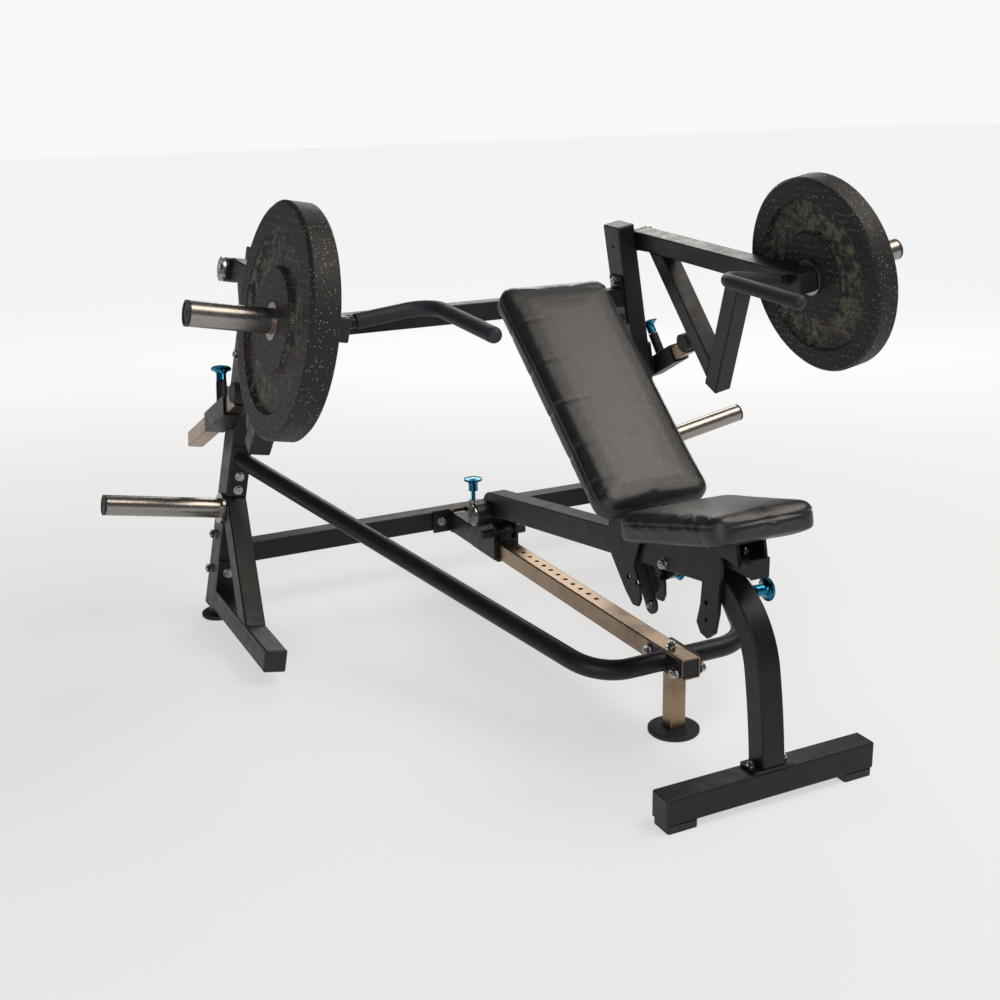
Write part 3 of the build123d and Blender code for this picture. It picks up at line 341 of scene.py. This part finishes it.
VINYL = vinyl()
THREAD = thread()
END_SHARE = 0.3
LEAST_CORNER = 0.004
CORNER_STEPS = 10
SIDE_STEPS = 26
VOXEL = 0.005
PRESSURE = 4.0
FABRIC_STIFFNESS = 25
BENDING_STIFFNESS = 2.0
LAST_FRAME = 14
MOST_MOVE = 0.0035
SEAM_DEPTH = 0.0016
SEAM_HALF_WIDTH = 0.0028
SEAM_REACH = 0.02
FOLD_HALF_WIDTH = 0.0065
STITCH_PITCH = 0.0065
STITCH_RADIUS = 0.0006
STITCH_ROW_GAP = 0.004


def new_object(name, mesh, material):
    made = bpy.data.objects.new(name, mesh)
    scene.collection.objects.link(made)
    mesh.materials.append(material)
    for face in mesh.polygons:
        face.use_smooth = True
    return made


class Pad:
    """The space of a CAD cushion, read from its mesh in the cushion's own directions."""

    def __init__(self, node, lean, corner, rise):
        self.along = Vector((0, math.cos(lean), math.sin(lean)))
        self.up = Vector((0, -math.sin(lean), math.cos(lean)))
        self.across = Vector((1, 0, 0))
        points = [v.co for v in nodes[node].data.vertices]
        runs = [p.dot(self.along) for p in points]
        heights = [p.dot(self.up) for p in points]
        self.start, self.end = min(runs), max(runs)
        self.low, self.high = min(heights), max(heights)
        self.length = self.end - self.start
        self.thick = self.high - self.low
        near = [abs(p.x) for p, r in zip(points, runs) if r < self.start + self.length * END_SHARE]
        far = [abs(p.x) for p, r in zip(points, runs) if r > self.end - self.length * END_SHARE]
        self.first, self.last = max(near), max(far)
        self.corner = corner
        self.rise = rise

    def at(self, x, run, height):
        return self.across * x + self.along * (self.start + run) + self.up * (self.low + height)

    def outline(self, inset):
        """Points round the cushion's edge, inset from it, with round corners."""
        grow = (self.last - self.first) / self.length
        low, high = inset, self.length + self.rise - inset

        def half(run):
            return self.first + grow * run - inset

        corners = [(-half(low), low), (half(low), low), (half(high), high), (-half(high), high)]
        radius = max(self.corner - inset, LEAST_CORNER)
        points = []
        for index, (x, y) in enumerate(corners):
            before, after = Vector(corners[index - 1]), Vector(corners[(index + 1) % 4])
            here = Vector((x, y))
            into, out = (before - here).normalized(), (after - here).normalized()
            angle = into.angle(out)
            reach = radius / math.tan(angle / 2)
            start, end = here + into * reach, here + out * reach
            centre = here + (into + out).normalized() * (radius / math.sin(angle / 2))
            a0 = math.atan2(*(start - centre).yx)
            a1 = math.atan2(*(end - centre).yx)
            turn = (a1 - a0 + math.pi) % (2 * math.pi) - math.pi
            for step in range(CORNER_STEPS + 1):
                a = a0 + turn * step / CORNER_STEPS
                points.append(centre + Vector((math.cos(a), math.sin(a))) * radius)
            next_corner = Vector(corners[(index + 1) % 4])
            far = next_corner - out * reach
            for step in range(1, SIDE_STEPS):
                points.append(end.lerp(far, step / SIDE_STEPS))
        return points


def loft(pad, rings):
    """A closed skin through rings of (inset, height)."""
    mesh = bpy.data.meshes.new("loft")
    build = bmesh.new()
    loops = []
    for inset, height in rings:
        loops.append([build.verts.new(pad.at(p.x, p.y, height)) for p in pad.outline(inset)])
    for below, above in zip(loops, loops[1:]):
        for i in range(len(below)):
            j = (i + 1) % len(below)
            build.faces.new((below[i], below[j], above[j], above[i]))
    build.faces.new(list(reversed(loops[0])))
    build.faces.new(loops[-1])
    bmesh.ops.recalc_face_normals(build, faces=build.faces)
    build.to_mesh(mesh)
    build.free()
    return mesh


def inflate(piece):
    """Voxel remesh, a short cloth simulation under pressure, and a limit on how far a point may move."""
    remesh = piece.modifiers.new("voxels", "REMESH")
    remesh.mode = "VOXEL"
    remesh.voxel_size = VOXEL
    remesh.use_smooth_shade = True
    apply_modifiers(piece)
    rest = [v.co.copy() for v in piece.data.vertices]
    cloth = piece.modifiers.new("stuffing", "CLOTH")
    cloth.settings.use_pressure = True
    cloth.settings.uniform_pressure_force = PRESSURE
    cloth.settings.effector_weights.gravity = 0
    cloth.settings.quality = 5
    cloth.settings.tension_stiffness = FABRIC_STIFFNESS
    cloth.settings.compression_stiffness = FABRIC_STIFFNESS
    cloth.settings.bending_stiffness = BENDING_STIFFNESS
    scene.frame_start, scene.frame_end = 1, LAST_FRAME
    cloth.point_cache.frame_start, cloth.point_cache.frame_end = 1, LAST_FRAME
    for number in range(1, LAST_FRAME + 1):
        scene.frame_set(number)
    apply_modifiers(piece)
    scene.frame_set(1)
    for vertex, start in zip(piece.data.vertices, rest):
        move = vertex.co - start
        if move.length > MOST_MOVE:
            vertex.co = start + move * (MOST_MOVE / move.length)


def apply_modifiers(piece):
    graph = bpy.context.evaluated_depsgraph_get()
    baked = bpy.data.meshes.new_from_object(piece.evaluated_get(graph))
    piece.modifiers.clear()
    old = piece.data
    piece.data = baked
    bpy.data.meshes.remove(old)


def smooth_positions(piece):
    build = bmesh.new()
    build.from_mesh(piece.data)
    bmesh.ops.smooth_vert(build, verts=build.verts, factor=0.5, use_axis_x=True, use_axis_y=True,
                          use_axis_z=True)
    build.to_mesh(piece.data)
    build.free()


def stitches(name, pad, inset, height):
    """A row of short raised stitches round the cushion at one height, as a single piece."""
    loop = [pad.at(p.x, p.y, height) for p in pad.outline(inset)]
    build = bmesh.new()
    carried = 0.0
    for start, end in zip(loop, loop[1:] + loop[:1]):
        run = end - start
        if run.length < 1e-6:
            continue
        turn = run.to_track_quat("X", "Z").to_matrix().to_4x4()
        while carried < run.length:
            middle = start + run.normalized() * carried
            stretch = Matrix.Diagonal((STITCH_PITCH * 0.36, STITCH_RADIUS, STITCH_RADIUS, 1))
            shape = Matrix.Translation(middle) @ turn @ stretch
            bmesh.ops.create_icosphere(build, subdivisions=1, radius=1.0, matrix=shape)
            carried += STITCH_PITCH
        carried -= run.length
    mesh = bpy.data.meshes.new(name)
    build.to_mesh(mesh)
    build.free()
    return new_object(name, mesh, THREAD)


def sew(piece, pad, seam_height, folds):
    """Draw the skin in along the seam, and at short folds: (run, side, reach, depth)."""
    middle_run = pad.length / 2
    for vertex in piece.data.vertices:
        run = vertex.co.dot(pad.along) - pad.start
        height = vertex.co.dot(pad.up) - pad.low
        half = pad.first + (pad.last - pad.first) * run / pad.length
        side_gap = half - abs(vertex.co.x)
        end_gap = min(run, pad.length - run)
        inward = Vector((-math.copysign(1, vertex.co.x), 0, 0))
        if end_gap < side_gap:
            inward = pad.along * math.copysign(1, middle_run - run)
        if min(side_gap, end_gap) < SEAM_REACH:
            vertex.co += inward * SEAM_DEPTH * math.exp(-((height - seam_height) / SEAM_HALF_WIDTH) ** 2)
        for at, side, reach, depth in folds:
            near = math.exp(-((run - at) / FOLD_HALF_WIDTH) ** 2 - (max(side_gap, 0) / reach) ** 2)
            if vertex.co.x * side > 0 and near > 0.01:
                vertex.co += inward * depth * near - pad.up * depth * 0.5 * near


def cushion(node, name, body, lean, corner, rise, crown, seam_drop, folds):
    """A stuffed board cushion: boxed sides, rolled top edge, crowned face, one seam round the side."""
    pad = Pad(node, lean, corner, rise)
    thick = pad.thick
    rings = [(0.03, 0.0), (0.004, 0.0), (-0.001, 0.003), (-0.002, 0.010), (-0.002, thick * 0.45),
             (-0.002, thick - seam_drop), (-0.0005, thick - 0.010), (0.004, thick - 0.004)]
    rings += [(0.011, thick), (0.026, thick + crown * 0.3), (0.05, thick + crown * 0.75),
              (0.085, thick + crown)]
    piece = new_object(name, loft(pad, rings), VINYL)
    inflate(piece)
    smooth_positions(piece)
    subdivide = piece.modifiers.new("smooth", "SUBSURF")
    subdivide.levels = subdivide.render_levels = 1
    apply_modifiers(piece)
    sew(piece, pad, thick - seam_drop, folds)
    for face in piece.data.polygons:
        face.use_smooth = True
    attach(piece, body)
    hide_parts(node)
    for label, drop in (("upper", seam_drop - STITCH_ROW_GAP), ("lower", seam_drop + STITCH_ROW_GAP)):
        row = stitches(name + "_" + label + "_stitches", pad, -0.0002, thick - drop)
        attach(row, body)


BACK_LEAN = math.radians(40.54)
SEAT_LEAN = math.radians(-13.5)
# Folds at the sides of the cushions: (run, side, reach, depth)
BACK_FOLDS = [(0.07, -1, 0.05, 0.0022), (0.16, -1, 0.035, 0.0018), (0.27, -1, 0.06, 0.0024),
              (0.38, -1, 0.04, 0.0020), (0.49, -1, 0.05, 0.0022), (0.565, 1, 0.07, 0.0022)]
SEAT_FOLDS = [(0.05, -1, 0.03, 0.0018), (0.30, -1, 0.025, 0.0020), (0.28, 1, 0.03, 0.0018)]
cushion("backrest_pad", "backrest_cushion", "backrest", lean=BACK_LEAN, corner=0.034, rise=0.007,
        crown=0.009, seam_drop=0.016, folds=BACK_FOLDS)
cushion("seat_pad", "seat_cushion", "seat", lean=SEAT_LEAN, corner=0.032, rise=0.0,
        crown=0.007, seam_drop=0.016, folds=SEAT_FOLDS)

# ------------------------------------------------------------------ floor, lights, camera


FLOOR_SIZE = 60
GLOW_FROM, GLOW_TO = 1.0, 5.0
GLOW_NEAR, GLOW_FAR = 0.58, 0.845


def stage_floor():
    """A pale floor that brightens outwards until it meets the white background."""
    bpy.ops.mesh.primitive_plane_add(size=FLOOR_SIZE, location=(0, 0, 0))
    floor = bpy.context.object
    floor.name = "studio_floor"
    mat = Mat("studio_floor", Roughness=0.95, Specular_IOR_Level=0.05, Base_Color=0.30)
    away = mat.vector("LENGTH", {0: mat.place()}).outputs["Value"]
    outwards = mat.spread(away, 0.0, 1.0, GLOW_FROM, GLOW_TO)
    glow = mat.ramp(outwards, [(0.0, GLOW_NEAR), (1.0, GLOW_FAR)], "EASE")
    mat.plug("Emission Color", glow)
    mat.set(mat.shader, "Emission Strength", 1.0)
    floor.data.materials.append(mat.done())


def area_light(name, place, aim, size, power, colour=(1, 1, 1)):
    data = bpy.data.lights.new(name, "AREA")
    data.shape = "RECTANGLE"
    data.size, data.size_y = size
    data.energy = power
    data.color = colour
    light = bpy.data.objects.new(name, data)
    light.location = place
    light.rotation_euler = (Vector(aim) - Vector(place)).to_track_quat("-Z", "Y").to_euler()
    scene.collection.objects.link(light)


def light_studio():
    """White behind the object, a dimmer room round it, warm light from above and cool from the front."""
    world = bpy.data.worlds.new("studio")
    scene.world = world
    world.use_nodes = True
    tree = world.node_tree
    room = tree.nodes["Background"]
    room.inputs[0].default_value = (0.86, 0.93, 1.0, 1)
    room.inputs[1].default_value = 0.17
    white = tree.nodes.new("ShaderNodeBackground")
    white.inputs[0].default_value = (0.945, 0.945, 0.945, 1)
    path = tree.nodes.new("ShaderNodeLightPath")
    either = tree.nodes.new("ShaderNodeMixShader")
    tree.links.new(path.outputs["Is Camera Ray"], either.inputs[0])
    tree.links.new(room.outputs[0], either.inputs[1])
    tree.links.new(white.outputs[0], either.inputs[2])
    tree.links.new(either.outputs[0], tree.nodes["World Output"].inputs[0])
    area_light("overhead", (1.5, -1.2, 3.5), (0.1, 0, 0.3), (3.0, 2.0), 105, (1.0, 0.90, 0.79))
    area_light("front_window", (-2.6, -3.6, 1.9), (0, 0, 0.5), (2.6, 1.8), 60, (0.80, 0.89, 1.0))
    area_light("rear_rim", (1.8, 3.4, 2.4), (0, 0, 0.6), (2.6, 1.4), 55, (1.0, 0.96, 0.90))


CAMERA_AT = (-1.41163, -2.57842, 1.28609)


def place_camera():
    """The viewpoint: round to the left of the bench's front, looking down, with a slight roll."""
    az, down, roll = (math.radians(angle) for angle in (25.80, 17.09, 1.26))
    forward = Vector((math.sin(az) * math.cos(down), math.cos(az) * math.cos(down), -math.sin(down)))
    right = Vector((math.cos(az), -math.sin(az), 0))
    below = -right.cross(forward)
    right, below = (math.cos(roll) * right + math.sin(roll) * below,
                    -math.sin(roll) * right + math.cos(roll) * below)
    data = bpy.data.cameras.new("camera")
    data.sensor_width = 36
    data.lens = 48.06
    data.clip_end = 200
    camera = bpy.data.objects.new("camera", data)
    turn = Matrix((right, -below, -forward)).transposed()
    camera.matrix_world = Matrix.Translation(CAMERA_AT) @ turn.to_4x4()
    scene.collection.objects.link(camera)
    scene.camera = camera


stage_floor()
light_studio()
place_camera()
scene.view_settings.view_transform = "Standard"
